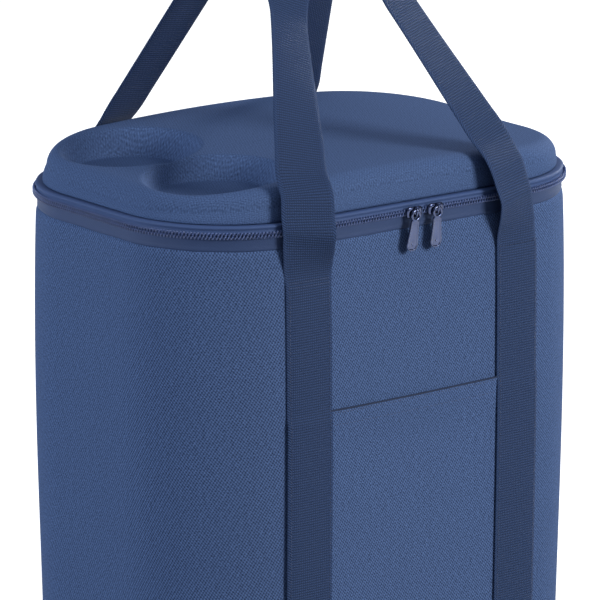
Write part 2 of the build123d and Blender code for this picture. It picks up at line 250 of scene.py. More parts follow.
def mesh_piece(name, grids, material, close_u=False, close_v=False, caps=(False, False), uv=None, merge=0.0):
    """Makes an object from one or more point grids of shape (rows, columns, 3), in millimetres.

    Each grid's rows run along u and its columns along v, and its faces join neighbours in both. A closed grid
    joins its last row or column to its first. Caps fill the first and last rows of a grid closed along its
    columns. `uv` holds one grid of millimetre coordinates for each point grid.
    """
    points, faces, coords, start = [], [], [], 0
    for g, grid in enumerate(grids):
        rows, columns = grid.shape[:2]
        index = np.arange(rows * columns).reshape(rows, columns) + start
        across = np.concatenate([index, index[:, :1]], 1) if close_v else index
        full = np.concatenate([across, across[:1]], 0) if close_u else across
        quads = np.stack([full[:-1, :-1], full[1:, :-1], full[1:, 1:], full[:-1, 1:]], -1).reshape(-1, 4)
        faces.append(quads)
        points.append(grid.reshape(-1, 3))
        if uv is not None:
            flat = np.asarray(uv[g], float)
            if close_v:
                flat = np.concatenate([flat, 2 * flat[:, -1:] - flat[:, -2:-1]], 1)
            if close_u:
                flat = np.concatenate([flat, 2 * flat[-1:] - flat[-2:-1]], 0)
            coords.append(np.stack([flat[:-1, :-1], flat[1:, :-1], flat[1:, 1:], flat[:-1, 1:]],
                                   2).reshape(-1, 2))
        start += rows * columns
    quads = np.concatenate(faces)
    polygons = [tuple(face) for face in quads.tolist()]
    ends = []
    if any(caps):
        start = 0
        for grid in grids:
            rows, columns = grid.shape[:2]
            if caps[0]:
                ends.append(tuple(range(start, start + columns)))
            if caps[1]:
                ends.append(tuple(range(start + rows * columns - 1, start + (rows - 1) * columns - 1, -1)))
            start += rows * columns
    mesh = bpy.data.meshes.new(name)
    mesh.from_pydata((np.concatenate(points) / 1000).tolist(), [], polygons + ends)
    if uv is not None:
        layer = mesh.uv_layers.new(name="UVMap")
        flat = np.zeros((len(mesh.loops), 2), np.float32)
        flat[:len(quads) * 4] = np.concatenate(coords)
        layer.data.foreach_set("uv", flat.ravel())
    mesh.update()
    mesh.validate()
    mesh.polygons.foreach_set("use_smooth", np.ones(len(mesh.polygons), bool))
    piece = bpy.data.objects.new(name, mesh)
    bpy.context.scene.collection.objects.link(piece)
    piece.data.materials.append(material)
    if merge:
        weld(piece, merge)
    return piece


def weld(piece, distance):
    """Merges points of a piece that lie closer than a distance in millimetres, which closes seams and
    poles."""
    import bmesh
    made = bmesh.new()
    made.from_mesh(piece.data)
    bmesh.ops.remove_doubles(made, verts=made.verts, dist=distance / 1000)
    made.to_mesh(piece.data)
    made.free()
    piece.data.update()


def thicken(piece, thickness, offset=-1.0):
    """Gives a sheet its wall, inwards by default."""
    wall = piece.modifiers.new("Wall", "SOLIDIFY")
    wall.thickness = thickness / 1000
    wall.offset = offset
    wall.use_even_offset = True
    return piece


def squared(value, power):
    """A sine or cosine raised to a power with its sign kept, which squares a circle off."""
    return np.sign(value) * np.abs(value) ** power


def stack(x, y, z):
    """Three coordinate arrays as one array of points."""
    x, y, z = np.broadcast_arrays(x, y, z)
    return np.stack([x, y, z], -1)


def pairs(u, v):
    """Two coordinate arrays as one array of pairs."""
    return np.stack(np.broadcast_arrays(u, v), -1)


def unit(v):
    return v / np.linalg.norm(v, axis=-1, keepdims=True)


def carried_profile(profile, s, wave=None):
    """A closed profile of (out, z) points carried along the plan: each row is the profile stood up at one s,
    its first coordinate along the plan's normal."""
    s = np.asarray(s, float)[:, None]
    out, z = profile[None, :, 0], profile[None, :, 1]
    if wave is not None:
        out = out + wave(s, z)
    x, y, nx, ny = plan(s)
    return stack(x + out * nx, y + out * ny, z + 0 * s)


def tube(path, radius, sides=8, closed=False):
    """A round tube along a path: at each point a circle of the radius lies square to the path's direction."""
    along = np.gradient(path, axis=0) if not closed else np.roll(path, -1, 0) - np.roll(path, 1, 0)
    along = unit(along)
    side = unit(np.cross(along, np.array([0.123, 0.211, 0.969])))
    other = np.cross(along, side)
    turn = np.linspace(0, math.tau, sides, endpoint=False)
    ring = np.cos(turn)[None, :, None] * side[:, None] + np.sin(turn)[None, :, None] * other[:, None]
    return path[:, None] + np.asarray(radius).reshape(-1, 1, 1) * ring


# Materials


def add_node(tree, kind, links=None, **settings):
    """Adds one node, sets its properties or input values, and links named inputs from other nodes'
    outputs."""
    made = tree.nodes.new(kind)
    for key, value in settings.items():
        if hasattr(made, key):
            setattr(made, key, value)
        else:
            made.inputs[key].default_value = value
    for key, source in (links or {}).items():
        tree.links.new(source, made.inputs[key])
    return made


def new_material(name):
    """An empty node material with its output and Principled shader."""
    material = bpy.data.materials.get(name)
    if material:
        return material, None, None
    material = bpy.data.materials.new(name)
    material.use_nodes = True
    tree = material.node_tree
    tree.nodes.clear()
    shader = tree.nodes.new("ShaderNodeBsdfPrincipled")
    output = tree.nodes.new("ShaderNodeOutputMaterial")
    tree.links.new(shader.outputs["BSDF"], output.inputs["Surface"])
    return material, tree, shader


def dress(tree, shader, colour, height=None, strength=0.0, depth=0.0, **values):
    """Links a colour and, where given, a height for bump to a shader, and sets the shader's plain values."""
    tree.links.new(colour, shader.inputs["Base Color"])
    if height is not None:
        bump = add_node(tree, "ShaderNodeBump", {"Height": height}, Strength=strength, Distance=depth)
        tree.links.new(bump.outputs[0], shader.inputs["Normal"])
    for key, value in values.items():
        shader.inputs[key.replace("_", " ")].default_value = value


def object_noise(tree, scale, detail):
    """A noise over the object's own coordinates."""
    place = add_node(tree, "ShaderNodeTexCoord")
    return add_node(tree, "ShaderNodeTexNoise", {"Vector": place.outputs["Object"]}, Scale=scale,
                    Detail=detail)


def summed(tree, first, second):
    """Two values added together."""
    return add_node(tree, "ShaderNodeMath", {0: first, 1: second}, operation="ADD")


def wave_scale(pitch):
    """The Wave node's scale for a given repeat, because its sine repeats every tau / 20 units."""
    return math.tau / 20 / pitch


def cloth_coordinates(tree, turn=0.0, stretch=(1, 1, 1)):
    """The piece's own cloth coordinates in millimetres, turned and stretched."""
    uv = add_node(tree, "ShaderNodeTexCoord")
    return add_node(tree, "ShaderNodeMapping", {"Vector": uv.outputs["UV"]},
                    Rotation=(0, 0, math.radians(turn)),
                    Scale=stretch)


def mixed(tree, factor, first, second):
    """A colour between two by a factor; either may be a fixed colour."""
    node = tree.nodes.new("ShaderNodeMix")
    node.data_type = "RGBA"
    tree.links.new(factor, node.inputs[0])
    for socket, value in ((node.inputs[6], first), (node.inputs[7], second)):
        if isinstance(value, bpy.types.NodeSocket):
            tree.links.new(value, socket)
        else:
            socket.default_value = value
    return node.outputs[2]


def shade(colour, factor):
    """A colour made lighter or darker."""
    return tuple(min(1.0, c * factor) for c in colour[:3]) + (1.0,)


def twill_material(name, tint=1.0, weave_share=0.5):
    """Polyester twill, woven from dull dyed yarn: fine diagonal ribs crossed by the weft, threads uneven in
    shade, and very little shine. The ribs are drawn at about three times their real spacing, the finest that
    still shows."""
    material, tree, shader = new_material(name)
    if tree is None:
        return material
    pitch = sizes().twill
    across = cloth_coordinates(tree, -45)
    ribs = add_node(tree, "ShaderNodeTexWave", {"Vector": across.outputs[0]}, Scale=wave_scale(pitch),
                    Distortion=1.2,
                    Detail=1.0)
    ribs.inputs["Detail Scale"].default_value = 3.0
    along = cloth_coordinates(tree, 28)
    weft = add_node(tree, "ShaderNodeTexWave", {"Vector": along.outputs[0]}, Scale=wave_scale(pitch * 1.15),
                    Distortion=1.6, Detail=1.0)
    weft.inputs["Detail Scale"].default_value = 3.0
    yarn_place = cloth_coordinates(tree, 0, (0.35, 0.9, 1) if weave_share > 0.2 else (0.8, 1.0, 1))
    yarn = add_node(tree, "ShaderNodeTexNoise", {"Vector": yarn_place.outputs[0]}, Scale=1.0, Detail=2.0)
    patch_place = cloth_coordinates(tree, 0)
    patch = add_node(tree, "ShaderNodeTexNoise", {"Vector": patch_place.outputs[0]}, Scale=0.016, Detail=3.0)
    weave = summed(tree, ribs.outputs["Fac"], weft.outputs["Fac"])
    half = add_node(tree, "ShaderNodeMath", {0: weave.outputs[0]}, operation="MULTIPLY")
    half.inputs[1].default_value = weave_share
    grain = summed(tree, half.outputs[0], yarn.outputs["Fac"])
    level = add_node(tree, "ShaderNodeMapRange", {"Value": grain.outputs[0]})
    level.inputs["From Min"].default_value = 0.1 + 0.7 * weave_share
    level.inputs["From Max"].default_value = 0.9 + 1.3 * weave_share
    cloth = mixed(tree, level.outputs[0], shade(colours().twill, 0.4 * tint),
                  shade(colours().twill_thread, 1.36 * tint))
    worn_level = add_node(tree, "ShaderNodeMapRange", {"Value": patch.outputs["Fac"]})
    worn_level.inputs["To Max"].default_value = 0.2
    worn = mixed(tree, worn_level.outputs[0], cloth, shade(colours().twill, 1.1 * tint))
    dress(tree, shader, worn, grain.outputs[0], 0.06 + 0.9 * weave_share, 0.0004, Roughness=0.82,
          Specular_IOR_Level=0.06, Sheen_Weight=0.0, Sheen_Roughness=0.4)
    return material


def webbing_material(name="webbing_woven_polypropylene"):
    """Polypropylene webbing, woven flat: cross ribs crossed by warp ends in a basket pattern, and two dense
    selvedges. The ribs are drawn at about twice their real spacing, the finest that still shows."""
    material, tree, shader = new_material(name)
    if tree is None:
        return material
    pitch = sizes().rib
    place = cloth_coordinates(tree, 0)
    rib = add_node(tree, "ShaderNodeTexWave", {"Vector": place.outputs[0]}, bands_direction="Y",
                   Scale=wave_scale(pitch), Distortion=0.25)
    warp = add_node(tree, "ShaderNodeTexWave", {"Vector": place.outputs[0]}, bands_direction="X",
                    Scale=wave_scale(pitch * 0.9), Distortion=0.25)
    ends = add_node(tree, "ShaderNodeMapRange", {"Value": warp.outputs["Fac"]})
    ends.inputs["To Min"].default_value = 0.3
    basket = add_node(tree, "ShaderNodeMath", {0: rib.outputs["Fac"], 1: ends.outputs[0]},
                      operation="MULTIPLY")
    fuzz = add_node(tree, "ShaderNodeTexNoise", {"Vector": place.outputs[0]}, Scale=1.1, Detail=2.0)
    split = add_node(tree, "ShaderNodeSeparateXYZ", {"Vector": place.outputs[0]})
    width = add_node(tree, "ShaderNodeMath", {0: split.outputs["X"]}, operation="ABSOLUTE")
    selvedge = add_node(tree, "ShaderNodeMapRange", {"Value": width.outputs[0]},
                        interpolation_type="SMOOTHSTEP")
    selvedge.inputs["From Min"].default_value = STRAP_W / 2 - 3.2
    selvedge.inputs["From Max"].default_value = STRAP_W / 2 - 2.4
    slant = cloth_coordinates(tree, 38)
    edge = add_node(tree, "ShaderNodeTexWave", {"Vector": slant.outputs[0]}, bands_direction="Y",
                    Scale=wave_scale(pitch * 0.8))
    height = add_node(tree, "ShaderNodeMix", {0: selvedge.outputs[0], 2: basket.outputs[0],
                                              3: edge.outputs["Fac"]})
    grain = summed(tree, height.outputs[0], fuzz.outputs["Fac"])
    level = add_node(tree, "ShaderNodeMapRange", {"Value": grain.outputs[0]})
    level.inputs["From Min"].default_value = 0.35
    level.inputs["From Max"].default_value = 1.4
    woven = mixed(tree, level.outputs[0], shade(colours().webbing, 0.6), colours().webbing_light)
    dress(tree, shader, woven, grain.outputs[0], 0.7, 0.0005, Roughness=0.68, Specular_IOR_Level=0.16,
          Sheen_Weight=0.02, Sheen_Roughness=0.4)
    return material


def tape_material(name, tint=1.0):
    """Zip tape, woven in polyester: fine slanting ribs, drawn in one direction only, a little glossier than
    the bag's fabric."""
    material, tree, shader = new_material(name)
    if tree is None:
        return material
    place = cloth_coordinates(tree, 60)
    rib = add_node(tree, "ShaderNodeTexWave", {"Vector": place.outputs[0]}, Scale=wave_scale(1.0),
                   Distortion=0.4)
    fuzz = add_node(tree, "ShaderNodeTexNoise", {"Vector": place.outputs[0]}, Scale=0.9, Detail=2.0)
    grain = summed(tree, rib.outputs["Fac"], fuzz.outputs["Fac"])
    level = add_node(tree, "ShaderNodeMapRange", {"Value": grain.outputs[0]})
    level.inputs["From Min"].default_value = 0.2
    level.inputs["From Max"].default_value = 1.8
    ribbed = mixed(tree, level.outputs[0], shade(colours().tape, 0.85 * tint),
                   shade(colours().tape, 1.25 * tint))
    dress(tree, shader, ribbed, grain.outputs[0], 0.4, 0.0002, Roughness=0.6, Specular_IOR_Level=0.2)
    return material


def coil_material(name="zip_coil_nylon_monofilament"):
    """Nylon monofilament, drawn smooth and wound into a coil: glossy, with a slight change of shade along
    it."""
    material, tree, shader = new_material(name)
    if tree is None:
        return material
    along = object_noise(tree, 260.0, 2.0)
    drawn = mixed(tree, along.outputs["Fac"], shade(colours().coil, 0.75), shade(colours().coil, 1.5))
    dress(tree, shader, drawn, Roughness=0.3)
    return material


def lacquer_material(name="zinc_die_cast_lacquered"):
    """Zinc, die-cast and lacquered blue-black: mirror-like with faint casting unevenness under the lacquer,
    and rubbed a little brighter in places."""
    material, tree, shader = new_material(name)
    if tree is None:
        return material
    place = add_node(tree, "ShaderNodeTexCoord")
    cast = add_node(tree, "ShaderNodeTexNoise", {"Vector": place.outputs["Object"]}, Scale=420.0, Detail=3.0)
    rub = add_node(tree, "ShaderNodeTexNoise", {"Vector": place.outputs["Object"]}, Scale=150.0, Detail=2.0)
    rough = add_node(tree, "ShaderNodeMapRange", {"Value": cast.outputs["Fac"]})
    rough.inputs["To Min"].default_value = 0.16
    rough.inputs["To Max"].default_value = 0.3
    tree.links.new(rough.outputs[0], shader.inputs["Roughness"])
    lacquer = mixed(tree, rub.outputs["Fac"], shade(colours().metal, 0.8), shade(colours().metal, 1.25))
    dress(tree, shader, lacquer, cast.outputs["Fac"], 0.08, 0.0002, Metallic=1.0, Coat_Weight=0.8,
          Coat_Roughness=0.06)
    return material


def thread_material(name="thread_bonded_polyester"):
    """Bonded polyester thread: smooth twisted plies with a soft shine."""
    material, tree, shader = new_material(name)
    if tree is None:
        return material
    ply = object_noise(tree, 900.0, 1.0)
    twisted = mixed(tree, ply.outputs["Fac"], shade(colours().thread, 0.7), shade(colours().thread, 1.2))
    dress(tree, shader, twisted, Roughness=0.5)
    return material


def lining_material(name="lining_film_aluminised"):
    """Heat-reflecting film, aluminised and heat-sealed: silver-grey, satin, with fine creases from
    handling."""
    material, tree, shader = new_material(name)
    if tree is None:
        return material
    place = add_node(tree, "ShaderNodeTexCoord")
    crease = add_node(tree, "ShaderNodeTexVoronoi", {"Vector": place.outputs["Object"]}, Scale=46.0,
                      feature="DISTANCE_TO_EDGE")
    crinkle = add_node(tree, "ShaderNodeTexNoise", {"Vector": place.outputs["Object"]}, Scale=70.0,
                       Detail=4.0,
                       Distortion=1.2)
    height = summed(tree, crease.outputs["Distance"], crinkle.outputs["Fac"])
    film = mixed(tree, crinkle.outputs["Fac"], shade(colours().lining, 0.82), shade(colours().lining, 1.15))
    dress(tree, shader, film, height.outputs[0], 0.5, 0.0015, Metallic=0.55, Roughness=0.38)
    return material


def plain_core_material(name, colour, scale, roughness):
    """A foamed or extruded plastic inside the wall: matt, with a fine cell grain in its shade and surface."""
    material, tree, shader = new_material(name)
    if tree is None:
        return material
    place = add_node(tree, "ShaderNodeTexCoord")
    cells = add_node(tree, "ShaderNodeTexVoronoi", {"Vector": place.outputs["Object"]}, Scale=scale)
    cellular = mixed(tree, cells.outputs["Distance"], shade(colour, 0.85), colour)
    dress(tree, shader, cellular, cells.outputs["Distance"], 0.3, 0.0003, Roughness=roughness)
    return material


# Pieces


def finish_piece(piece, body, replaced=()):
    """Hooks a finished piece to its body and stands it in for its frame nodes."""
    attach(piece, body)
    if replaced:
        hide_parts(*replaced)


class BodyWall(bpy.types.Operator):
    """Make the body's outer fabric, with the swell of its foam, and the piped seam round its foot"""

    bl_idname = "bag.body_wall"
    bl_label = "Body wall"

    def execute(self, context):
        s = np.linspace(0, plan_length(), 380, endpoint=False)[:, None]
        z = np.concatenate([np.linspace(BODY_LOW[2], SEAM_Z - 14, 74),
                            SEAM_Z - 12.5 * (1 - np.sin(np.linspace(0.1, math.pi / 2, 16)))])[None, :]
        out = wall_swell(s, z)
        x, y, nx, ny = plan(s)
        grid = stack(x + out * nx, y + out * ny, z + 0 * s)
        wall = mesh_piece("body_wall", [grid], twill_material("polyester_twill_woven"), close_u=True,
                          uv=[pairs(s, z)])
        thicken(wall, 1.0)
        finish_piece(wall, "bag_body", ["body_outer_shell"])
        low, high = node_box("base_piping")
        r = (high[2] - low[2]) / 2
        turn = np.linspace(0, math.tau, 12, endpoint=False)
        profile = np.stack([0.5 + r * np.cos(turn), (low[2] + high[2]) / 2 + r * np.sin(turn)], 1)
        s = np.linspace(0, plan_length(), 420, endpoint=False)
        grid = carried_profile(profile, s, lambda a, b: 0.12 * np.sin(a / 1.9 + np.sin(a / 17)))
        uv = pairs(s[:, None], r * turn[None, :])
        welt = mesh_piece("base_welt", [grid], twill_material("polyester_twill_piping", 0.8), True, True,
                          uv=[uv])
        finish_piece(welt, "bag_body", ["base_piping"])
        return {"FINISHED"}


def pocket_gap(x, z):
    """How far the pocket stands off the wall: most at the middle of its open edge, nothing near its sewn
    sides."""
    sides = np.clip(1 - (x / (POCKET_HIGH[0] - 12)) ** 2, 0, 1) ** 0.6
    return 2.6 * np.exp(-((POCKET_HIGH[2] - z) / 20) ** 2) * sides


class SlipPocket(bpy.types.Operator):
    """Make the front slip pocket: a panel with a turned hem, open a little at the top, and a thin tape along its
    open edge drawn very dark as painted shade for the shadow in that opening
    """

    bl_idname = "bag.slip_pocket"
    bl_label = "Slip pocket"

    def execute(self, context):
        half = POCKET_HIGH[0]
        hem = 13.0
        top = POCKET_HIGH[2]
        a = np.linspace(-half, half, 96)
        z = np.concatenate([np.linspace(POCKET_LOW[2], top - hem - 1, 50),
                            np.linspace(top - hem, top - 1, 14)])
        def base(x, h):
            return wall_swell(front_s(x), h) + 0.25 + pocket_gap(x, h)

        def thick(h):
            return 0.45 - 0.05 * smooth((h - (top - hem)) / 2.4)

        lip_turn = np.linspace(0, math.pi, 7)[1:-1]
        x = a[:, None]
        front_face = base(x, z[None]) + 2 * thick(z[None])
        lip_out = base(x, top) + thick(top) + thick(top) * np.cos(lip_turn)[None]
        lip_z = top - 1 + np.sin(lip_turn)[None] + 0 * x
        back_z = z[::-1][None]
        back_face = base(x, back_z) + 0 * x
        out = np.concatenate([front_face, lip_out, back_face], 1)
        height = np.concatenate([z[None] + 0 * x, lip_z, back_z + 0 * x], 1)
        grid = stack(x, -(HALF_D + out), height)
        uv = pairs(x, np.concatenate([z, top + np.arange(5) * 0.4, 2 * top - z[::-1]])[None])
        pocket = mesh_piece("slip_pocket", [grid], twill_material("polyester_twill_pocket", 1.04),
                            close_v=True,
                            caps=(True, True), uv=[uv])
        finish_piece(pocket, "bag_body", ["front_pocket", "pocket_hem"])
        turn = np.linspace(0, math.tau, 12, endpoint=False)
        lip = base(x, top) + thick(top)
        grid = stack(x, -(HALF_D + lip + 0.72 * np.cos(turn)[None]),
                     top - 0.2 + 0.75 * np.sin(turn)[None] + 0 * x)
        uv = pairs(x, 0.75 * turn[None])
        # The edge tape is drawn at 0.4 of the tape colour: painted shade standing in for the shadow line in the
        # pocket's opening.
        binding = mesh_piece("pocket_edge_binding", [grid], tape_material("pocket_binding_tape", 0.4),
                             close_v=True,
                             caps=(True, True), uv=[uv])
        outward(binding)
        finish_piece(binding, "bag_body")
        return {"FINISHED"}


# How far the cup recesses stand from the frame's openings, in mm: both towards the left end, and the
# front one forwards as well
CUP_LEFT = 6.0
CUP_FORWARDS = 3.0


def cup_centres():
    """The middles of the two cup recesses, a little aside from the frame's openings."""
    boxes = [o["box_m"] for o in RECORD["physics"]["openings"] if o["name"].endswith("_middle")]
    return [((low[0] + high[0]) * 500 - CUP_LEFT,
             (low[1] + high[1]) * 500 - (CUP_FORWARDS if low[1] < -0.02 else 0.0)) for low, high in boxes]


def lid_height(x, y, inset, skin=0.0):
    """Height of the lid's surface at (x, y), or of the surface `skin` inside it: a crown that falls with the
    square of x and rises a little towards the back, a quarter round at the edge, and two cup recesses whose
    sides dip smoothly from mouth to floor."""
    size = sizes()
    top = CROWN_Z - skin - size.crown_long * (x / HALF_W) ** 2 - size.crown_deep * (y / HALF_D) ** 2
    top = top + size.lid_rise * smooth((y / HALF_D + 0.3) / 1.1)
    edge = size.lid_edge - skin
    into = np.clip(edge - inset, 0, edge)
    rounded = edge - np.sqrt(edge ** 2 - into ** 2)
    floors = [o["box_m"][0][2] for o in RECORD["physics"]["openings"] if o["name"].endswith("_middle")]
    floor_z = min(floors) * 1000 - skin - 0.3
    dip = 0
    for cx, cy in cup_centres():
        distance = np.hypot(x - cx, y - cy) - skin
        t = np.clip((size.cup_mouth - distance) / (size.cup_mouth - size.cup_floor), 0, 1)
        dip = np.maximum(dip, smooth(t))
    uneven = 0.22 * ripple(x / 40, y / 40, 5)
    return (top + uneven * (1 - dip) - rounded) * (1 - dip) + (floor_z + 0.6 * uneven) * dip


def lid_surface(s, skin, low_z):
    """The lid's moulded surface from the foot of its wall to the middle of its top, `skin` inside the cover:
    rings of the plan at growing insets, then rings shrunk towards the spine. Returns the points and the cloth
    coordinates."""
    edge, inset0 = sizes().lid_edge - skin, LID_INSET + skin
    lean = sizes().lid_lean * (0.55 - 0.45 * plan(s)[0] / HALF_W)
    rows, cloth = [], []

    def add(x, y, z, u, v):
        rows.append(stack(x, y, z))
        cloth.append(pairs(u, v))

    wall_x, wall_y, _, _ = plan(s, -inset0 - lean)
    shoulder = lid_height(wall_x, wall_y, edge, skin) - edge
    for part in np.linspace(0, 1, 9):
        z = low_z + (shoulder - low_z) * part
        x, y, nx, ny = plan(s, 0.3 * math.sin(math.pi * part) - inset0 - lean * part ** 1.5)
        reach = shoulder - z + edge * 0.57
        add(x, y, z, x + nx * reach, y + ny * reach)
    for angle in np.radians(np.linspace(9, 90, 10)):
        inset = edge * (1 - math.cos(angle))
        x, y, nx, ny = plan(s, -inset0 - lean - inset)
        reach = edge * 0.57 * (1 - angle / (math.pi / 2))
        add(x, y, lid_height(x, y, inset, skin), x + nx * reach, y + ny * reach)
    x0, y0, _, _ = plan(s, -inset0 - lean - edge)
    spine = (HALF_W - HALF_D) / (HALF_W - inset0 - edge)
    for t in np.linspace(0, 1, 110)[1:]:
        x, y = x0 * (1 - t + spine * t), y0 * (1 - t)
        add(x, y, lid_height(x, y, edge, skin), x, y)
    return np.stack(rows, 1).reshape(len(s), -1, 3), np.stack(cloth, 1).reshape(len(s), -1, 2)


class Lid(bpy.types.Operator):
    """Make the lid's moulded cover, with rounded edge, crowned top and two cup recesses, and the foam under
    it"""

    bl_idname = "bag.lid"
    bl_label = "Lid"

    def execute(self, context):
        total = plan_length()
        even = np.linspace(0, 1, 4000)
        fine = np.cumsum(1 / (1.25 + 2.6 * smooth((np.abs(even - 0.25) - 0.19) / 0.05)))
        count = int(total / 4000 * fine[-1]) + 1
        s = np.interp(np.linspace(0, fine[-1], count, endpoint=False), fine, even * total)[:, None]
        grid, cloth = lid_surface(s, 0.0, LID_Z + 0.3)
        cover = mesh_piece("lid_cover", [grid], twill_material("polyester_twill_moulded", 0.95, 0.12),
                           close_u=True,
                           uv=[cloth], merge=0.02)
        thicken(cover, 1.2)
        finish_piece(cover, "lid", ["lid_shell"])
        low, _ = node_box("lid_foam")
        s = np.linspace(0, total, 260, endpoint=False)[:, None]
        grid, _ = lid_surface(s, 1.5, LID_Z + 1.2)
        under = []
        x0, y0, _, _ = plan(s, -LID_INSET - 1.7)
        spine = (HALF_W - HALF_D) / HALF_W
        for t in np.linspace(1, 0.01, 12):
            under.append(stack(x0 * (1 - t + spine * t), y0 * (1 - t), max(low[2], LID_Z + 0.4)))
        grid = np.concatenate([np.stack(under, 1).reshape(len(s), -1, 3), grid], 1)
        foam = plain_core_material("polyethylene_foam_closed_cell", colours().foam, 600.0, 0.85)
        core = mesh_piece("lid_foam_core", [grid], foam, close_u=True, merge=0.02)
        finish_piece(core, "lid", ["lid_foam"])
        return {"FINISHED"}


def zip_span(step):
    """Distances round the plan along the zip, from one end of the fabric hinge round to the other."""
    return np.arange(HINGE_HALF + 0.5, plan_length() - HINGE_HALF - 0.5, step)


def banded(points, thickness):
    """A closed profile around an open line of (out, z) points: the line on one side, and on the other the
    same line set in by the thickness, with the ends rounded off."""
    points = np.array(points, float)
    along = unit(np.gradient(points, axis=0))
    inward = np.stack([-along[:, 1], along[:, 0]], 1)
    inner = (points + inward * thickness)[::-1]
    start_nose = (points[0] + inner[-1]) / 2 - along[0] * thickness * 0.35
    end_nose = (points[-1] + inner[0]) / 2 + along[-1] * thickness * 0.35
    return np.concatenate([points, end_nose[None], inner, start_nose[None]])


def bowed(start, bow, end, count):
    """A quadratic curve through three (out, z) points' pull: start, bow as the control point, end."""
    t = np.linspace(0, 1, count)[:, None]
    start, bow, end = (np.array(p, float) for p in (start, bow, end))
    return start * (1 - t) ** 2 + bow * 2 * t * (1 - t) + end * t ** 2


class ZipLine(bpy.types.Operator):
    """Make the zip: both tapes, both nylon coils, the end stops and the fabric hinge across the back"""

    bl_idname = "bag.zip_line"
    bl_label = "Zip line"

    def execute(self, context):
        tape_out = COIL_OUT - 2.0
        lower_line = np.concatenate([bowed((-0.4, SEAM_Z - 2.6), (1.9, SEAM_Z - 1.6), (2.2, SEAM_Z + 0.6), 6),
                                     bowed((2.0, SEAM_Z + 1.9), (tape_out - 1.1, SEAM_Z + 4.0),
                                           (tape_out, ZIP_Z - 0.3), 7)])
        upper_line = np.concatenate([bowed((tape_out, ZIP_Z + 0.3), (tape_out - 0.9, ZIP_Z + 2.4),
                                           (tape_out - 0.9, LID_Z - 3.2), 5),
                                     bowed((tape_out - 0.5, LID_Z - 2.5), (tape_out + 0.7, LID_Z - 1.0),
                                           (tape_out - 1.0, LID_Z - 0.1), 7),
                                     bowed((tape_out - 2.2, LID_Z + 0.1), (-1.0, LID_Z), (-3.4, LID_Z - 0.2),
                                           4)])
        s = zip_span(2.4)

        def quiver(a, _):
            return 0.14 * np.sin(a / 7.3 + 1.3 * np.sin(a / 31))

        # The two tapes are lit and shaded copies of one tape: the lid side is drawn 1.35 times lighter as painted
        # light on its upward-tilted face, and the body side a little darker as painted shade.
        for name, line, body, node, tint in (
                ("zip_tape_body_side", lower_line, "bag_body", "zip_tape_lower", 0.95),
                ("zip_tape_lid_side", upper_line, "lid", "zip_tape_upper", 1.35)):
            profile = banded(line, 0.8)
            length = np.concatenate([[0], np.cumsum(np.linalg.norm(np.diff(profile, axis=0), axis=1))])
            grid = carried_profile(profile, s, quiver)
            uv = pairs(s[:, None], length[None, :])
            tape = mesh_piece(name, [grid], tape_material(f"{name}_herringbone", tint), close_v=True,
                              caps=(True, True), uv=[uv])
            finish_piece(tape, body, [node])
        self.coils()
        self.hinge(tape_out)
        return {"FINISHED"}

    def coils(self):
        """Each coil is a flattened helix along the plan: out is a centre plus the cosine of the winding
        angle, z a centre plus its sine, and the angle grows by a full turn each pitch. The two are half a
        turn apart."""
        pitch = sizes().coil_pitch
        for name, middle, body, node, phase in (
                ("zip_coil_body_side", ZIP_Z - 1.25, "bag_body", "zip_coil_lower", 0.0),
                ("zip_coil_lid_side", ZIP_Z + 1.25, "lid", "zip_coil_upper", math.pi)):
            s = zip_span(pitch / 8)
            turn = math.tau * s / pitch + phase
            x, y, nx, ny = plan(s)
            out = COIL_OUT - 0.85 + 0.62 * np.cos(turn)
            path = stack(x + out * nx, y + out * ny, middle + 1.05 * np.sin(turn))
            coil = mesh_piece(name, [tube(path, 0.5, sides=6)], coil_material(), close_v=True,
                              caps=(True, True))
            finish_piece(coil, body, [node])
        _, high = node_box("zip_end_stops")
        grids = []
        for side in (-1, 1):
            across = np.linspace(-1, 1, 14)
            turn = np.linspace(0, math.tau, 16, endpoint=False)
            fat = (1 - np.abs(across) ** 4) ** 0.25
            x = side * (high[0] - 4.2) + side * 4.2 * across[:, None]
            y = HALF_D + COIL_OUT - 0.6 + 0.95 * fat[:, None] * np.cos(turn)[None] * side
            z = ZIP_Z - 1.4 + 1.5 * fat[:, None] * np.sin(turn)[None]
            grids.append(stack(x, y, z))
        stops = mesh_piece("zip_end_stop_pair", grids, coil_material("zip_stop_nylon_moulded"), close_v=True,
                           merge=0.02)
        finish_piece(stops, "bag_body", ["zip_end_stops"])

    def hinge(self, tape_out):
        """The fabric hinge bows from the body's seam over the zip's height to the lid."""
        line = np.concatenate([bowed((-0.4, SEAM_Z - 2.6), (2.6, SEAM_Z - 0.6), (tape_out, ZIP_Z), 12),
                               bowed((tape_out + 0.1, ZIP_Z + 0.8), (tape_out + 0.4, LID_Z - 3.0),
                                     (-2.4, LID_Z - 0.2),
                                     10)])
        profile = banded(line, 0.8)
        s = np.linspace(-HINGE_HALF, HINGE_HALF, 80)
        length = np.concatenate([[0], np.cumsum(np.linalg.norm(np.diff(profile, axis=0), axis=1))])
        grid = carried_profile(profile, s, lambda a, b: 0.12 * np.sin(a / 8.1))
        uv = pairs(s[:, None], length[None, :])
        strip = mesh_piece("lid_hinge_fabric", [grid], tape_material("hinge_tape_herringbone", 1.0),
                           close_v=True,
                           caps=(True, True), uv=[uv])
        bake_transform(strip)
        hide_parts("lid_hinge_strip")


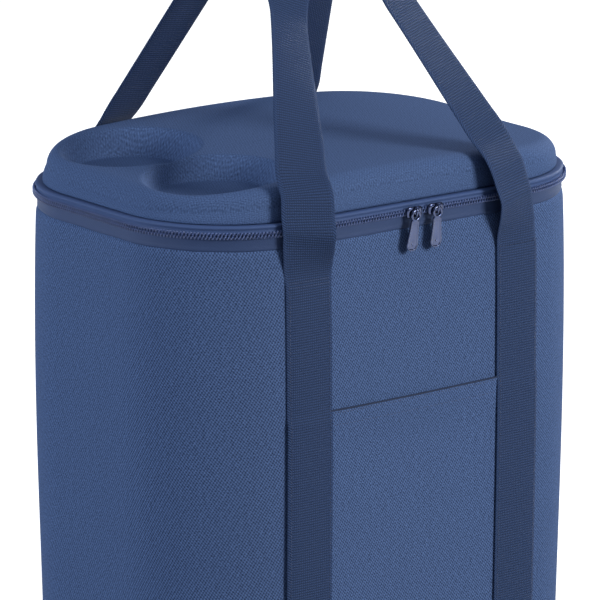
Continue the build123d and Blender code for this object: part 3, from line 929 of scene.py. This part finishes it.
class Sliders(bpy.types.Operator):
    """Make the two zip sliders with their bridges, and the two pulls"""

    bl_idname = "bag.sliders"
    bl_label = "Sliders and pulls"

    def execute(self, context):
        for hand in ("left", "right"):
            pivot = np.array(JOINTS[f"pull_{hand}_swing"]["pos_m"]) * 1000
            axis = -np.array(JOINTS[f"pull_{hand}_swing"]["axis"])
            self.slider(hand, pivot)
            self.pull(hand, pivot, axis)
        return {"FINISHED"}

    def slider(self, hand, pivot):
        """A domed plate, whose edge is a rounded box in plan and whose face rises as a fourth-power pillow, a
        rolled lip below, and an arched bridge as a tube over the pull's eye."""
        low, high = node_box(f"slider_{hand}")
        face_y = -(HALF_D + COIL_OUT + 0.35)
        middle_z = (low[2] + high[2]) / 2
        half_l, half_h = (high[0] - low[0]) / 2, (high[2] - low[2]) / 2
        turn = np.linspace(0, math.tau, 48, endpoint=False)
        round_x = squared(np.cos(turn), 0.62)
        round_z = squared(np.sin(turn), 0.62)
        waist = 1 - 0.16 * np.exp(-(np.cos(turn) / 0.45) ** 2)
        rings = [(0.0, 0.0), (0.6, 0.0), (0.93, 0.0), (1.0, 0.35), (1.0, 1.1), (0.95, 1.65), (0.8, 1.95),
                 (0.5, 2.2),
                 (0.25, 2.3), (0.0, 2.32)]
        grid = np.stack([stack(pivot[0] + half_l * r * round_x, face_y - h + 0 * turn,
                               middle_z + half_h * r * round_z * waist) for r, h in rings])
        t = np.linspace(0, math.pi, 26)
        arch = stack(pivot[0] + 0 * t, face_y - 1.6 - 3.2 * np.sin(t) ** 0.7,
                     pivot[2] - 1.0 + 3.3 * np.cos(t))
        bridge = tube(arch, 0.78, sides=12)
        lip_x = np.linspace(-0.62, 0.62, 14) * half_l
        lip = stack(pivot[0] + lip_x, face_y + 0.5 + 0 * lip_x, low[2] + 0.9 + 0 * lip_x)
        lip_tube = tube(lip, 0.75, sides=10)
        for name, grids, capped in ((f"zip_slider_{hand}", [grid], False),
                                    (f"zip_slider_{hand}_bridge", [bridge], True),
                                    (f"zip_slider_{hand}_lip", [lip_tube], True)):
            piece = mesh_piece(name, grids, lacquer_material(), close_v=True, caps=(capped, capped),
                               merge=0.02)
            outward(piece)
            finish_piece(piece, f"slider_{hand}",
                         [f"slider_{hand}"] if name.endswith(hand) else ())

    def pull(self, hand, pivot, across):
        """A tapered tab whose outline widens from neck to tip and ends round. Its face is sunk inside a
        raised rim, with a drop-shaped hollow near the tip, and a ring eye hangs on the bridge."""
        low, high = node_box(f"pull_{hand}")
        across = across * np.sign(across[0])
        down = np.array([-across[2], 0.0, across[0]])
        down = down * -np.sign(down[2])
        out = np.array([0.0, -1.0, 0.0])
        length = (high[2] - low[2]) / abs(down[2]) - 0.6
        eye_r, wire, tip_w, neck_w = 3.5, 1.15, 10.4, 7.6
        start, stop = 2 * eye_r - 0.6, length - wire
        u = np.concatenate([np.linspace(0, 0.8, 44), 0.8 + 0.2 * np.sin(np.linspace(0.03, math.pi / 2, 20))])
        run = start + (stop - start) * u
        widen = neck_w / 2 + (tip_w - neck_w) / 2 * smooth(u * 1.1)
        end_round = np.sqrt(np.clip(1 - np.clip((run - (stop - tip_w / 2)) / (tip_w / 2), 0, 1) ** 2, 0, 1))
        half = widen * end_round * np.clip(0.5 + u * 7, 0, 1)
        turn = np.linspace(0, math.tau, 56, endpoint=False)
        side = squared(np.cos(turn), 0.8)
        depth = squared(np.sin(turn), 0.6)
        a = half[:, None] * side[None]
        thick = 1.05 * np.clip(end_round, 0.3, 1)[:, None] * depth[None]
        from_edge = np.minimum(half[:, None] - np.abs(a), (stop - run)[:, None])
        sunk = 0.55 * smooth((from_edge - 1.0) / 0.8) * smooth((run[:, None] - start - 2.2) / 1.4)
        drop = 0.5 * np.exp(-((a / 1.3) ** 2 + ((run[:, None] - (stop - 5.4)) / 2.6) ** 2))
        thick = thick - (sunk + drop) * np.sign(depth)[None] * (np.abs(depth)[None] > 0.3)
        tab = pivot + down * run[:, None, None] + across * a[..., None] + out * thick[..., None]
        ring_turn = np.linspace(0, math.tau, 40, endpoint=False)
        sink, spread = eye_r * (1 - np.cos(ring_turn)), eye_r * np.sin(ring_turn)
        ring = pivot + down * sink[:, None] + across * spread[:, None]
        eye = tube(ring, wire, sides=12, closed=True)
        tab_piece = mesh_piece(f"zip_pull_{hand}_tab", [tab], lacquer_material(), close_v=True,
                               caps=(True, False),
                               merge=0.02)
        eye_piece = mesh_piece(f"zip_pull_{hand}_eye", [eye], lacquer_material(), close_u=True, close_v=True)
        for piece, replaced in ((tab_piece, [f"pull_{hand}"]), (eye_piece, ())):
            outward(piece)
            finish_piece(piece, f"pull_{hand}", replaced)


def outward(piece):
    """Turns every face of a closed piece to point outwards."""
    import bmesh
    made = bmesh.new()
    made.from_mesh(piece.data)
    bmesh.ops.recalc_face_normals(made, faces=made.faces)
    made.to_mesh(piece.data)
    made.free()


# Each handle's side of the bag, its lean inwards and its gathering towards the middle per mm of height, the
# turn of its webbing over the lid's rim and under the grip in degrees, and the sideways sway of its left and
# right leg in mm
HANDLES = {
    "front": {"side": -1, "lean": 0.64, "gather": 0.377, "turn": {-1: (21, -6), 1: (16, 27)},
              "shift": {-1: -7.5, 1: -8.0}},
    "back": {"side": 1, "lean": 0.60, "gather": 0.289, "turn": {-1: (16, 15), 1: (10, 8)},
             "shift": {-1: 13.0, 1: 2.0}},
}


def half_handle(end, hand, step=0.55):
    """The middle line of half a strap, from its sewn foot to the middle of the grip, with its face direction.

    Below the fold it lies on the fabric. Above, it bows out past the zip, leans over the lid's edge along a
    straight line, and closes in an arch. The face turns outwards by an angle that changes smoothly along it,
    and stands across the arch at the grip. Returns points, outward face directions and widthwise directions,
    how far the strap still follows the body's corner, and the distances along it.
    """
    handle = HANDLES[end]
    side, lean, gather = handle["side"], handle["lean"], handle["gather"]
    top = sizes().grip_z[0 if end == "front" else 1]
    half_t = sizes().webbing / 2
    rim, grip_turn = handle["turn"][hand]
    sewn_z = np.linspace(STRAP_LOW[2], FOLD_Z - 3, 60)
    lift = 1.1 * smooth((POCKET_HIGH[2] + 2 - sewn_z) / 7) if end == "front" else 0 * sewn_z
    lie = wall_swell(front_s(STRAP_X), sewn_z) + lift + half_t + 0.35
    over_zip = COIL_OUT + half_t + 0.3
    stand = STRAP_W / 2 * math.sin(math.radians(rim))
    low_line = np.stack([0 * sewn_z + STRAP_X, HALF_D + lie, sewn_z], 1)
    edge_z = CROWN_Z + 2.0
    start_x, start_y = STRAP_X - 6.5, HALF_D - 7.4 + 0.62 * stand
    line = lambda z: (start_x - gather * (z - edge_z), start_y - lean * (z - edge_z), z)
    bend_z = top - 60
    over = [(STRAP_X, HALF_D + over_zip + 0.55 * stand - 1.0, ZIP_Z - 12),
            (STRAP_X - 0.5, HALF_D + over_zip + 0.8 * stand, ZIP_Z - 1),
            (STRAP_X - 2.2, HALF_D + over_zip + 0.8 * stand - 2.6, ZIP_Z + 12),
            (STRAP_X - 4.4, HALF_D + 1.0 + 0.7 * stand, ZIP_Z + 24),
            line(edge_z + 3), line(edge_z + 20)]
    straight = [line(z) for z in np.linspace(edge_z + 40, bend_z, 6)]
    x1, y1, z1 = line(bend_z)
    t = np.linspace(0, 1, 12)[1:, None]
    p0 = np.array([x1, y1, z1])
    leave = unit(np.array([-gather, -lean, 1.0]))
    p1 = p0 + leave * 34
    p3 = np.array([0.0, 22.0, top])
    p2 = p3 + np.array([max(14.0, x1 * 0.62), 3.0, 0.0])
    arch = p0 * (1 - t) ** 3 + 3 * p1 * t * (1 - t) ** 2 + 3 * p2 * t ** 2 * (1 - t) + p3 * t ** 3
    guide = np.concatenate([low_line, np.array(over), np.array(straight), arch])
    length = np.concatenate([[0], np.cumsum(np.linalg.norm(np.diff(guide, axis=0), axis=1))])
    at = np.linspace(0, length[-1], int(length[-1] / step))
    points = spline(length, guide, at)
    along = unit(np.gradient(points, axis=0))
    z = points[:, 2]
    turn = rim * smooth((z - FOLD_Z + 14) / 44) + (grip_turn - rim) * smooth((z - ZIP_Z - 20) / 120)
    arch_part = smooth((at - (length[-1] - 105)) / 105)
    turn = np.radians(turn * (1 - arch_part) + 90 * arch_part)[:, None]
    flat = np.array([0.0, 1.0, 0.0]) - along * along[:, 1:2]
    flat = unit(flat)
    outer = np.cross(flat, along)
    outer = outer * np.where(outer[:, :1] >= 0, 1, -1)
    outer[-8:] = outer[-9]
    outer = unit(outer - along * np.sum(outer * along, 1, keepdims=True))
    face = np.cos(turn) * flat + np.sin(turn) * outer
    wide = np.cross(along, face)
    hug = 1 - smooth((z - (FOLD_Z - 4)) / 16)
    for array in (points, face, wide):
        array[:, 0] *= hand
        array[:, 1] *= side
    shift = handle["shift"]
    middle = (shift[-1] + shift[1]) / 2
    points[:, 0] += (shift[hand] + (middle - shift[hand]) * arch_part) * smooth((z - FOLD_Z + 12) / 56)
    return points, face, wide, hug, at


def spline(knots, values, at):
    """A smooth curve through values at knots: on each span a cubic with slopes from the neighbours."""
    slopes = np.gradient(values, knots, axis=0)
    k = np.clip(np.searchsorted(knots, at, side="right") - 1, 0, len(knots) - 2)
    h = (knots[k + 1] - knots[k])[:, None]
    t = ((at - knots[k])[:, None]) / h
    return (values[k] * (1 + 2 * t) * (1 - t) ** 2 + slopes[k] * h * t * (1 - t) ** 2
            + values[k + 1] * t * t * (3 - 2 * t) + slopes[k + 1] * h * t * t * (t - 1))


def webbing_grid(points, face, wide, hug, at):
    """The closed surface of a stretch of webbing: a flat oval section, thicker and slightly scalloped at its
    selvedges, set square to the line. Where it is sewn down it follows the body's corner."""
    half_w, half_t = STRAP_W / 2, sizes().webbing / 2
    turn = np.linspace(0, math.tau, 28, endpoint=False)
    a = squared(np.cos(turn), 0.32) * half_w
    h = squared(np.sin(turn), 0.55) * half_t
    h = h * (1 - 0.12 * np.cos(a / half_w * math.pi / 2) ** 2)
    scallop = 0.16 * np.sin(math.tau * at / sizes().rib)[:, None] * (np.abs(a) / half_w)[None] ** 12
    a = a[None] + np.sign(a)[None] * scallop
    r = sizes().corner
    beyond = np.clip(np.abs(points[:, None, 0] + a * wide[:, None, 0]) - (HALF_W - r), 0, None)
    recede = (r - np.sqrt(r * r - beyond ** 2)) * hug[:, None]
    drop = -np.sign(points[:, None, 1]) * recede
    grid = points[:, None] + a[..., None] * wide[:, None] + h[None, :, None] * face[:, None]
    grid[..., 1] += drop
    uv = pairs(a, at[:, None])
    return grid, uv


class Straps(bpy.types.Operator):
    """Make the webbing: four sewn straps that rise into the handles' legs, and the two grips"""

    bl_idname = "bag.straps"
    bl_label = "Straps and handles"

    def execute(self, context):
        material = webbing_material()
        split_z = (FOLD_Z + BEND_Z) / 2
        for end, handle in HANDLES.items():
            halves = {hand: half_handle(end, hand) for hand in (-1, 1)}
            for hand, label in ((-1, "left"), (1, "right")):
                points, face, wide, hug, at = halves[hand]
                cut = int(np.argmax(points[:, 2] > split_z))
                grid, uv = webbing_grid(points[:cut + 1], face[:cut + 1], wide[:cut + 1], hug[:cut + 1],
                                        at[:cut + 1])
                leg = mesh_piece(f"{end}_strap_{label}", [grid], material, close_v=True, caps=(True, True),
                                 uv=[uv])
                outward(leg)
                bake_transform(leg)
                nodes = [f"strap_{end}_{label}"] + ([f"{end}_handle_base"] if hand > 0 else [])
                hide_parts(*nodes)
            left, right = halves[-1], halves[1]
            cuts = [int(np.argmax(h[0][:, 2] > split_z)) for h in (left, right)]
            joined = [np.concatenate([left[i][cuts[0]:-1],
                                      right[i][cuts[1]:][::-1] * (1 if i in (0, 1) else -1)])
                      for i in (0, 1, 2)]
            hug = np.zeros(len(joined[0]))
            at = np.concatenate([left[4][cuts[0]:-1], 2 * right[4][-1] - right[4][cuts[1]:][::-1]])
            blur = np.linspace(-1, 1, 61)
            blur = np.exp(-3 * blur ** 2) / np.exp(-3 * blur ** 2).sum()
            middle = np.exp(-((at - right[4][-1]) / 60.0) ** 4)[:, None]
            for i in (1, 2):
                eased = np.stack([np.convolve(np.pad(joined[i][:, c], 30, "edge"), blur,
                                              "valid") for c in range(3)], 1)
                joined[i] = unit(joined[i] * (1 - middle) + eased * middle)
            grid, uv = webbing_grid(joined[0], joined[1], joined[2], hug, at)
            grip = mesh_piece(f"{end}_handle_grip_webbing", [grid], material, close_v=True, caps=(True, True),
                              uv=[uv])
            outward(grip)
            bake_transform(grip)
            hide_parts(f"{end}_handle_loop")
        return {"FINISHED"}


def stitch_grids(points, normals, length, radius=0.32):
    """Stitches as small capsules: each is a short tube with pointed ends, its middle at a point, and lies
    along the line that the points make, sunk by a third into the cloth."""
    along = unit(np.gradient(points, axis=0))
    side = np.cross(normals, along)
    part = np.array([-1.0, -0.72, 0.0, 0.72, 1.0])
    fat = np.array([0.05, 0.75, 1.0, 0.75, 0.05])
    turn = np.linspace(0, math.tau, 6, endpoint=False)
    ring = np.cos(turn)[:, None, None] * normals[None] * 0.8 + np.sin(turn)[:, None, None] * side[None]
    made = (points[None, None] + part[:, None, None, None] * along[None, None] * length / 2
            + fat[:, None, None, None] * radius * ring[None])
    return [made[:, :, k] for k in range(len(points))]


def corner_drop(x):
    """How far the plan's rounded corner falls back from its flat front at x."""
    r = sizes().corner
    return r - np.sqrt(r * r - np.clip(np.abs(x) - (HALF_W - r), 0, None) ** 2)


class Stitching(bpy.types.Operator):
    """Make the stitch lines: both edges and the top of each sewn strap, and the pocket's hem"""

    bl_idname = "bag.stitching"
    bl_label = "Stitching"

    def execute(self, context):
        pitch = sizes().stitch
        half_t = sizes().webbing / 2
        rows = {"strap_stitches": [], "pocket_stitches": []}
        for end, handle in HANDLES.items():
            side = handle["side"]
            for hand in (-1, 1):
                points, face, wide, _, _ = half_handle(end, hand, pitch)
                keep = (points[:, 2] < FOLD_Z - 7) & (points[:, 2] > STRAP_LOW[2] + 3)
                for edge in (-1, 1):
                    reach = edge * (STRAP_W / 2 - 2.6)
                    line = points[keep] + reach * wide[keep] + face[keep] * (half_t * 0.98)
                    line[:, 1] -= side * corner_drop(line[:, 0])
                    rows["strap_stitches"] += stitch_grids(line, face[keep], pitch * 0.72)
                for row_z in (FOLD_Z - 8.5, FOLD_Z - 6.5):
                    k = int(np.argmin(np.abs(points[:, 2] - row_z)))
                    a = np.arange(-STRAP_W / 2 + 3.5, STRAP_W / 2 - 3.4, 2.2)[:, None]
                    line = points[k] + a * wide[k] + face[k] * (half_t * 0.98)
                    line[:, 1] -= side * corner_drop(line[:, 0])
                    rows["strap_stitches"] += stitch_grids(line, np.repeat(face[k:k + 1], len(line), 0), 1.7)
        x = np.arange(-STRAP_X + STRAP_W / 2 + 3, STRAP_X - STRAP_W / 2 - 2, pitch)
        for drop in (2.2, 11.4):
            z = POCKET_HIGH[2] - drop
            out = wall_swell(front_s(x), z) + 0.25 + pocket_gap(x, z) + 0.82
            line = stack(x, -(HALF_D + out), z)
            rows["pocket_stitches"] += stitch_grids(line, np.repeat([[0, -1.0, 0]], len(x), 0), pitch * 0.72,
                                                    0.26)
        for name, grids in rows.items():
            piece = mesh_piece(name, grids, thread_material(), close_v=True, caps=(True, True))
            finish_piece(piece, "bag_body", ["strap_bar_tacks"] if name == "strap_stitches" else ())
        return {"FINISHED"}


class Lining(bpy.types.Operator):
    """Make the lining of the body and the lid, and the bindings round both"""

    bl_idname = "bag.lining"
    bl_label = "Lining"

    def execute(self, context):
        count = 300
        s = np.linspace(0, plan_length(), count, endpoint=False)[:, None]
        inset = WALL_T + 0.5
        rows = []
        corner = 10.0
        for z in np.linspace(RIM_LOW[2] - 0.2, FLOOR_Z + corner, 44):
            x, y, nx, ny = plan(s, -inset)
            dent = 0.5 * ripple(s / 21, z / 26, 3) * smooth((RIM_LOW[2] - z) / 20)
            rows.append(stack(x - nx * (0.5 + dent), y - ny * (0.5 + dent), z))
        for angle in np.radians(np.linspace(12, 90, 8)):
            x, y, _, _ = plan(s, -inset - corner * (1 - math.cos(angle)))
            rows.append(stack(x, y, FLOOR_Z + 0.4 + corner * (1 - math.sin(angle))))
        x0, y0, _, _ = plan(s, -inset - corner)
        spine = (HALF_W - HALF_D) / HALF_W
        for t in np.linspace(0, 1, 26)[1:]:
            x, y = x0 * (1 - t) + x0 * spine * t, y0 * (1 - t)
            rows.append(stack(x, y, FLOOR_Z + 0.4 + 0.35 * (1 + ripple(x / 18, y / 18, 9)) * min(1, 3 * t)))
        grid = np.concatenate(rows, 1)
        lining = mesh_piece("body_lining", [grid[::-1]], lining_material(), close_u=True, merge=0.05)
        thicken(lining, 0.3)
        finish_piece(lining, "bag_body", ["inner_liner"])
        turn = np.linspace(0, math.tau, 20, endpoint=False)
        wide = WALL_T / 2 + 0.35
        profile = np.stack([-WALL_T / 2 - 0.4 + wide * squared(np.cos(turn), 0.5),
                            RIM_LOW[2] - 1.5 + 2.9 * squared(np.sin(turn), 0.7)], 1)
        ring_s = np.linspace(0, plan_length(), 420, endpoint=False)
        grid = carried_profile(profile, ring_s, lambda a, b: 0.1 * np.sin(a / 2.3 + np.sin(a / 19)))
        around = np.arange(20) * 1.6
        uv = pairs(ring_s[:, None], around[None])
        binding = mesh_piece("rim_binding_tape", [grid], tape_material("binding_tape_woven", 0.85), True,
                             True, uv=[uv])
        outward(binding)
        finish_piece(binding, "bag_body", ["rim_binding"])
        self.lid_lining()
        return {"FINISHED"}

    def lid_lining(self):
        """The lid's underside: a shallow cushion whose face sinks to a quilted line inside its bound edge."""
        low, high = node_box("lid_liner")
        inset = HALF_W - high[0]
        s = np.linspace(0, plan_length(), 300, endpoint=False)[:, None]
        rows = []
        for extra, z in ((0.0, LID_Z - 0.2), (0.0, low[2] + 1.2), (0.4, low[2] + 0.3), (1.4, low[2])):
            x, y, _, _ = plan(s, -inset - extra)
            rows.append(stack(x, y, z))
        start = inset + 2.4
        x0, y0, _, _ = plan(s, -start)
        spine = (HALF_W - HALF_D) / HALF_W
        for t in np.linspace(0, 1, 30):
            x, y = x0 * (1 - t) + x0 * spine * t, y0 * (1 - t)
            quilt = 1.0 * np.exp(-((t - 0.16) / 0.02) ** 2)
            swell = 0.25 * ripple(x / 22, y / 22, 21)
            rows.append(stack(x, y, low[2] - 0.2 + quilt + swell))
        grid = np.concatenate(rows, 1)
        lining = mesh_piece("lid_lining", [grid[::-1]], lining_material(), close_u=True, merge=0.05)
        thicken(lining, 0.3)
        finish_piece(lining, "lid", ["lid_liner"])
        turn = np.linspace(0, math.tau, 16, endpoint=False)
        profile = np.stack([-inset + 0.1 + 1.5 * np.cos(turn), low[2] + 2.6 + 2.7 * np.sin(turn)], 1)
        ring_s = np.linspace(0, plan_length(), 420, endpoint=False)
        grid = carried_profile(profile, ring_s, lambda a, b: 0.1 * np.sin(a / 2.1 + np.sin(a / 23)))
        uv = pairs(ring_s[:, None], (np.arange(16) * 1.2)[None])
        binding = mesh_piece("lid_binding_tape", [grid], tape_material("binding_tape_woven"), True, True,
                             uv=[uv])
        outward(binding)
        finish_piece(binding, "lid", ["lid_binding"])


class Core(bpy.types.Operator):
    """Give the frame's own foam, board and base panel their finishes"""

    bl_idname = "bag.core"
    bl_label = "Core finishes"

    def execute(self, context):
        foam = plain_core_material("polyethylene_foam_closed_cell", colours().foam, 600.0, 0.85)
        board = plain_core_material("polypropylene_sheet_extruded", colours().board, 900.0, 0.5)
        base = plain_core_material("polyester_coated_base", shade(colours().twill, 0.62), 1400.0, 0.66)
        for name, material in (("body_foam_wall", foam), ("base_foam", foam),
                               ("base_board", board), ("base_panel", base)):
            mesh = frame["nodes"][name].data
            mesh.materials.clear()
            mesh.materials.append(material)
        return {"FINISHED"}


CAMERA_YAW = 37.7
CAMERA_PITCH = 14.05
CAMERA_PLACE = (-2.1101, -2.7284, 1.1667)
CAMERA_LENS = 283.2


class Stage(bpy.types.Operator):
    """Set the pale floor, the soft lights and the camera"""

    bl_idname = "bag.stage"
    bl_label = "Stage"

    def execute(self, context):
        scene = context.scene
        material, tree, shader = new_material("floor_painted_matt")
        noise = object_noise(tree, 3.0, 3.0)
        paint = mixed(tree, noise.outputs["Fac"], shade(colours().floor, 0.99), colours().floor)
        dress(tree, shader, paint, Roughness=0.9, Emission_Color=(1, 1, 1, 1), Emission_Strength=0.55)
        grid = stack(np.linspace(-14000, 14000, 9)[:, None], np.linspace(-14000, 14000, 9)[None, :], -0.5)
        floor = mesh_piece("studio_floor", [grid], material)
        floor.visible_diffuse = False
        world = bpy.data.worlds.new("studio")
        world.use_nodes = True
        sky = world.node_tree
        place = add_node(sky, "ShaderNodeTexCoord")
        split = add_node(sky, "ShaderNodeSeparateXYZ", {"Vector": place.outputs["Generated"]})
        height = add_node(sky, "ShaderNodeMapRange", {"Value": split.outputs["Z"]})
        height.inputs["From Min"].default_value = 0.12
        height.inputs["From Max"].default_value = 0.55
        glow = mixed(sky, height.outputs[0], (0.11, 0.12, 0.14, 1), (0.4, 0.43, 0.48, 1))
        sky.links.new(glow, sky.nodes["Background"].inputs["Color"])
        sky.nodes["Background"].inputs["Strength"].default_value = 1.0
        scene.world = world
        scene.view_settings.view_transform = "Standard"
        self.softbox("key_softbox", (1.0, -2.7, 1.45), (0.0, 0.0, 0.35), 1.0, 78, (1.0, 0.965, 0.9))
        self.softbox("left_softbox", (-2.8, 0.9, 0.85), (0.0, 0.0, 0.3), 1.0, 46, (0.93, 0.97, 1.0))
        self.softbox("right_softbox", (2.9, 0.9, 1.35), (0.0, 0.0, 0.35), 0.7, 42, (0.93, 0.97, 1.0))
        camera = bpy.data.objects.new("camera", bpy.data.cameras.new("camera"))
        camera.location = CAMERA_PLACE
        camera.rotation_euler = (math.radians(90 - CAMERA_PITCH), 0, -math.radians(CAMERA_YAW))
        camera.data.lens = CAMERA_LENS
        camera.data.clip_end = 100
        scene.collection.objects.link(camera)
        scene.camera = camera
        return {"FINISHED"}

    def softbox(self, name, place, target, size, power, tint):
        """A square area light that faces a point."""
        light = bpy.data.lights.new(name, "AREA")
        light.color = tint
        light.shape = "SQUARE"
        light.size = size
        light.energy = power
        lamp = bpy.data.objects.new(name, light)
        lamp.location = place
        aim = np.array(target) - np.array(place)
        flat = math.hypot(aim[0], aim[1])
        lamp.rotation_euler = (math.atan2(flat, -aim[2]), 0, math.atan2(aim[1], aim[0]) - math.pi / 2)
        bpy.context.scene.collection.objects.link(lamp)


class BagPanel(bpy.types.Panel):
    """The bag's makers, sizes and colours in the sidebar"""

    bl_idname = "VIEW3D_PT_cooler_bag"
    bl_label = "Cooler Bag"
    bl_space_type = "VIEW_3D"
    bl_region_type = "UI"
    bl_category = "Cooler Bag"

    def draw(self, context):
        for maker in MAKERS:
            self.layout.operator(maker.bl_idname)
        for group in (context.scene.bag_sizes, context.scene.bag_colours):
            for key in group.bl_rna.properties.keys():
                if key not in ("rna_type", "name"):
                    self.layout.prop(group, key)


MAKERS = (BodyWall, SlipPocket, Lid, ZipLine, Sliders, Straps, Stitching, Lining, Core, Stage)
CLASSES = (BagSizes, BagColours, *MAKERS, BagPanel)


def register():
    for made in CLASSES:
        bpy.utils.register_class(made)
    bpy.types.Scene.bag_sizes = bpy.props.PointerProperty(type=BagSizes)
    bpy.types.Scene.bag_colours = bpy.props.PointerProperty(type=BagColours)


def unregister():
    del bpy.types.Scene.bag_colours
    del bpy.types.Scene.bag_sizes
    for made in reversed(CLASSES):
        bpy.utils.unregister_class(made)


def main():
    """Makes the whole bag and its stage."""
    register()
    for maker in MAKERS:
        group, name = maker.bl_idname.split(".")
        getattr(getattr(bpy.ops, group), name)()
    bpy.context.view_layer.update()


if __name__ == "__main__":
    main()
